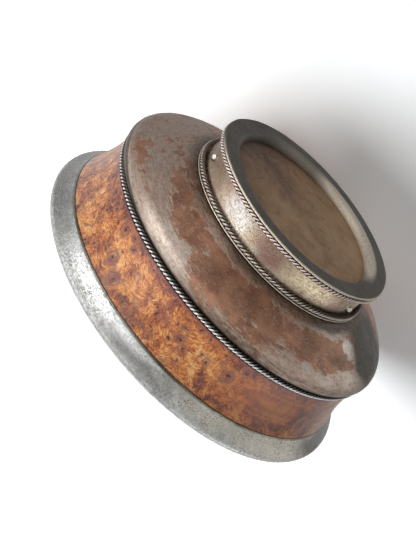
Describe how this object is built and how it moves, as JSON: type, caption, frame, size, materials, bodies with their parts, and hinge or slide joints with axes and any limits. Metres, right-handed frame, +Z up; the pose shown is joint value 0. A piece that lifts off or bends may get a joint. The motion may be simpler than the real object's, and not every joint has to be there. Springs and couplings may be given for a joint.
{
  "type": "silver-mounted wooden bowl",
  "caption": "Turned burl bowl with a silver lining, rolled silver rim, spun base casing, twisted-wire borders and a short nailed foot collar.",
  "frame": {"origin": "centre of the foot flange on the plane that the bowl stands on", "axes": "+Z up along the bowl's own axis, towards its mouth; X and Y across the mouth"},
  "size_m": [0.13, 0.13, 0.054],
  "materials": {
    "burl": "polished, varnished burl",
    "lining_silver": "soft polished silver with a light tarnish",
    "rim_silver": "brushed and faintly pitted grey silver",
    "wire_silver": "twisted wire, polished on its crowns",
    "worn_copper": "silver plate worn through to brown copper",
    "warm_silver": "warm worn silver with fine scratches",
    "dull_silver": "dull tarnished silver",
    "nail_silver": "polished domed nail head"
  },
  "bodies": {
    "root": {"burl_bowl": "burl", "silver_lining": "lining_silver", "rim_mount": "rim_silver", "shoulder_wire": "wire_silver", "base_casing": "worn_copper", "foot_collar": "warm_silver", "collar_wire": "wire_silver", "flange_wire": "wire_silver", "foot_flange": "dull_silver", "collar_nail_1": "nail_silver", "collar_nail_2": "nail_silver", "collar_nail_3": "nail_silver"}
  },
  "joints": []
}
